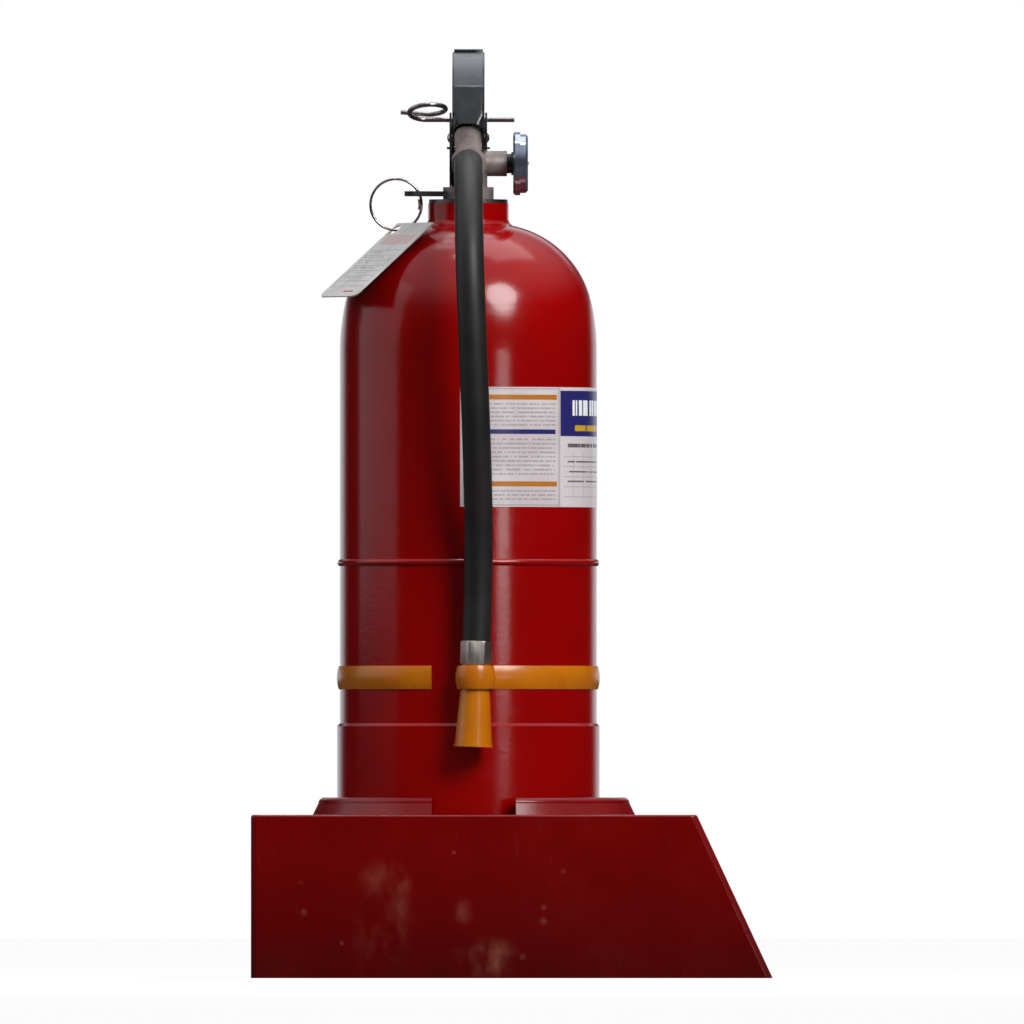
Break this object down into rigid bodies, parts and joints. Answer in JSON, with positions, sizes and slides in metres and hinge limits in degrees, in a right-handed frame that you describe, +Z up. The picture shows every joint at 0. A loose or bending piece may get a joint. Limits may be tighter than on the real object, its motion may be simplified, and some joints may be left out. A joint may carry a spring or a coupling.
{
  "type": "fire extinguisher on a floor stand",
  "caption": "Hand-held dry powder fire extinguisher with lever valve, hose, gauge, safety pin and tag, standing in a slant-fronted moulded floor stand.",
  "frame": {"origin": "on the floor, in the middle of the stand seen from above", "axes": "+Z up, +X towards the stand's slanted front and the gauge, -Y the side with the hose, +Y the side the lever and handle reach to"},
  "size_m": [0.27, 0.2308, 0.4843],
  "materials": {
    "stand_plastic": "glossy moulded",
    "tank_paint": "gloss powder coat",
    "label_film": "printed film",
    "dry_powder": "fine powder",
    "tube_plastic": "matte",
    "seal_rubber": "matte",
    "washer_zinc": "satin",
    "valve_alloy": "satin cast",
    "stem_steel": "turned",
    "spring_steel": "drawn",
    "lever_black": "gloss black",
    "rivet_steel": "satin",
    "pin_steel": "bright drawn",
    "gauge_black": "matte",
    "gauge_chrome": "polished",
    "gauge_glass": "clear",
    "gauge_face": "printed",
    "needle_paint": "satin",
    "tube_brass": "satin",
    "hose_rubber": "satin",
    "ferrule_steel": "satin",
    "nozzle_plastic": "gloss moulded",
    "tab_plastic": "matte",
    "ring_steel": "bright",
    "tag_card": "matte card"
  },
  "bodies": {
    "stand": {"stand_shell": "stand_plastic"},
    "extinguisher": {"lower_shell": "tank_paint", "upper_shell": "tank_paint", "girth_weld": "tank_paint", "neck_ring": "tank_paint", "neck_weld": "tank_paint", "base_skirt": "tank_paint", "wrap_label": "label_film", "powder_charge": "dry_powder", "dip_tube": "tube_plastic", "neck_o_ring": "seal_rubber", "valve_washer": "washer_zinc", "valve_body": "valve_alloy", "stem_o_ring": "seal_rubber", "valve_spring": "spring_steel", "carry_handle": "lever_black", "lever_rivet": "rivet_steel", "handle_cross_pin": "rivet_steel", "gauge_stem": "gauge_black", "gauge_seal": "seal_rubber", "gauge_case": "gauge_chrome", "gauge_bezel": "gauge_chrome", "gauge_lens": "gauge_glass", "gauge_dial": "gauge_face", "bourdon_tube": "tube_brass", "hose_coupling": "ferrule_steel", "hose": "hose_rubber", "hose_ferrule": "ferrule_steel", "nozzle": "nozzle_plastic", "nozzle_strap": "nozzle_plastic", "tag_tab": "tab_plastic"},
    "lever": {"squeeze_lever": "lever_black"},
    "stem": {"valve_stem": "stem_steel", "stem_seal": "seal_rubber"},
    "pull_pin": {"safety_pin": "pin_steel"},
    "needle": {"gauge_needle": "needle_paint"},
    "ring": {"tag_ring": "ring_steel"},
    "tag": {"inspection_tag": "tag_card"}
  },
  "joints": [
    {"name": "lift_off", "type": "slide", "parent": "stand", "child": "extinguisher", "axis": [0, 0, 1], "range_m": [0, 0.12]},
    {"name": "lever_squeeze", "type": "hinge", "parent": "extinguisher", "child": "lever", "pos_m": [-0.0226, -0.0069, 0.43645], "axis": [-1, 0, 0], "range_deg": [0, 15], "stiffness_Nm_per_rad": 2, "springref_deg": -17.19, "deforming": ["valve_spring"]},
    {"name": "stem_press", "type": "slide", "parent": "extinguisher", "child": "stem", "axis": [0, 0, -1], "range_m": [0, 0.0022]},
    {"name": "pin_pull", "type": "slide", "parent": "extinguisher", "child": "pull_pin", "axis": [-1, 0, 0], "range_m": [0, 0.045]},
    {"name": "needle_turn", "type": "hinge", "parent": "extinguisher", "child": "needle", "pos_m": [-0.0226, 0, 0.42315], "axis": [1, 0, 0], "range_deg": [-55, 55]},
    {"name": "ring_swing", "type": "hinge", "parent": "extinguisher", "child": "ring", "pos_m": [-0.04813, -0.00747, 0.40735], "axis": [0, 1, 0], "range_deg": [0, 45]},
    {"name": "tag_flap", "type": "hinge", "parent": "ring", "child": "tag", "pos_m": [-0.06039, -0.00747, 0.38844], "axis": [-0.4695, 0.8829, 0], "range_deg": [0, 10]}
  ],
  "couplings": [
    {"joint": "stem_press", "follows": "lever_squeeze", "m_per_rad": 0.0083}
  ]
}
